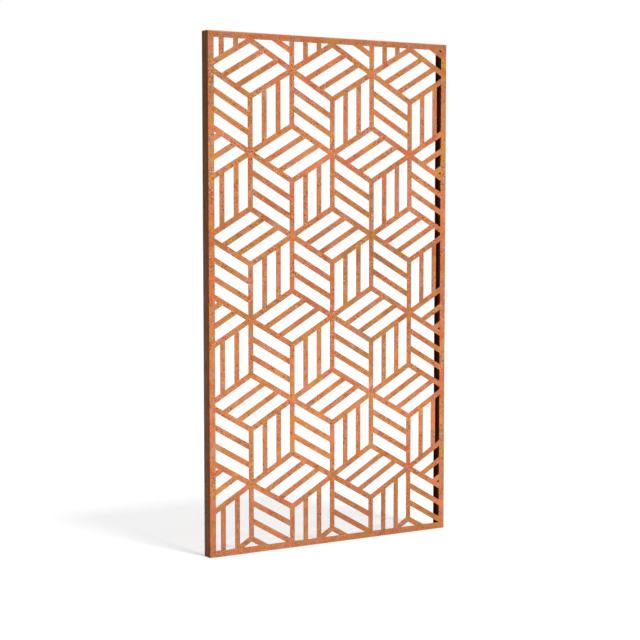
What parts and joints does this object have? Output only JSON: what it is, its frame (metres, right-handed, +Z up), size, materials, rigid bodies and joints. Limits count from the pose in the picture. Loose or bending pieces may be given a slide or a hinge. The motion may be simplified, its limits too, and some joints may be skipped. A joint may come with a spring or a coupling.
{
  "type": "laser cut metal screen",
  "caption": "Tall flat room or garden screen: a laser-cut steel lattice sheet of drawn cubes, held by studs in front of a folded channel at each side.",
  "frame": {"origin": "middle of the screen's footprint, on the floor that it stands on", "axes": "+Z up, the cut front sheet faces -Y, +X to the right as seen from the front"},
  "size_m": [0.988, 0.0466, 1.8],
  "materials": {
    "rusted_sheet": "matte",
    "dark_rusted_channel": "matte",
    "weathered_fixings": "satin"
  },
  "bodies": {
    "root": {"laser_cut_sheet": "rusted_sheet", "left_channel": "dark_rusted_channel", "right_channel": "dark_rusted_channel", "left_foot_plate": "dark_rusted_channel", "right_foot_plate": "dark_rusted_channel", "left_top_plate": "dark_rusted_channel", "right_top_plate": "dark_rusted_channel", "left_weld_studs": "weathered_fixings", "right_weld_studs": "weathered_fixings", "left_washers": "weathered_fixings", "right_washers": "weathered_fixings", "left_nuts": "weathered_fixings", "right_nuts": "weathered_fixings"}
  },
  "joints": []
}
